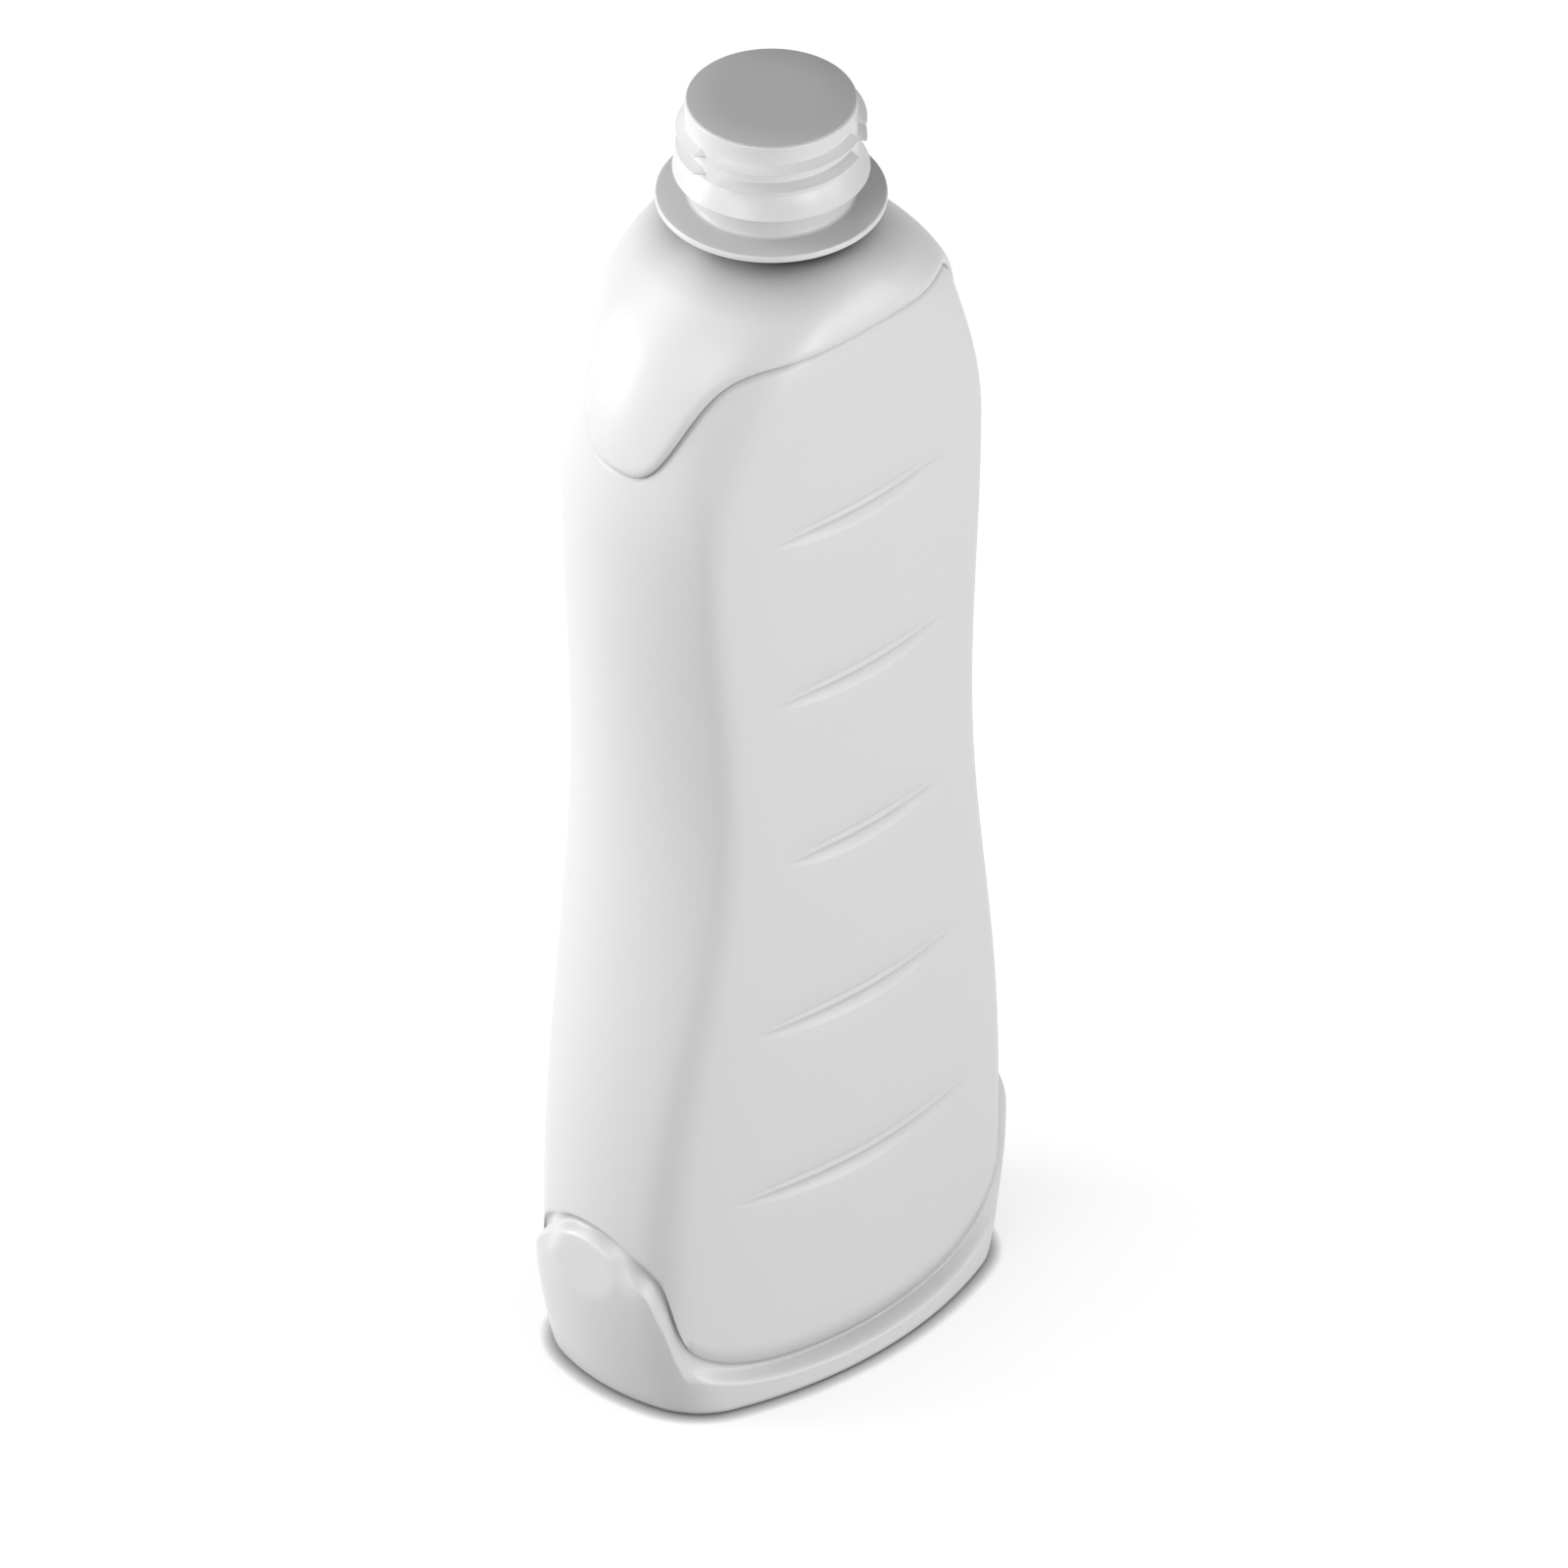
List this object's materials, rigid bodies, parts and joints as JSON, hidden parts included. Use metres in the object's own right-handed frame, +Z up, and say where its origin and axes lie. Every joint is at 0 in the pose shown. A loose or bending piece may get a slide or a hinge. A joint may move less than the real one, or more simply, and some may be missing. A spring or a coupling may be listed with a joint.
{
  "type": "rectangular bottle",
  "caption": "Blow-moulded rectangular household bottle with a waisted body, grip grooves, a raised shoulder cape and foot, a flanged screw neck and a foil-sealed mouth.",
  "frame": {"origin": "on the neck's axis, in the plane that the bottle stands on", "axes": "+Z up along the neck, X across the broad panels from one narrow side to the other, front panel towards -Y"},
  "size_m": [0.1044, 0.0606, 0.287],
  "materials": {
    "body": "satin moulded white",
    "foil": "matt lacquered foil"
  },
  "bodies": {
    "root": {"bottle": "body", "mouth_seal": "foil"}
  },
  "joints": []
}
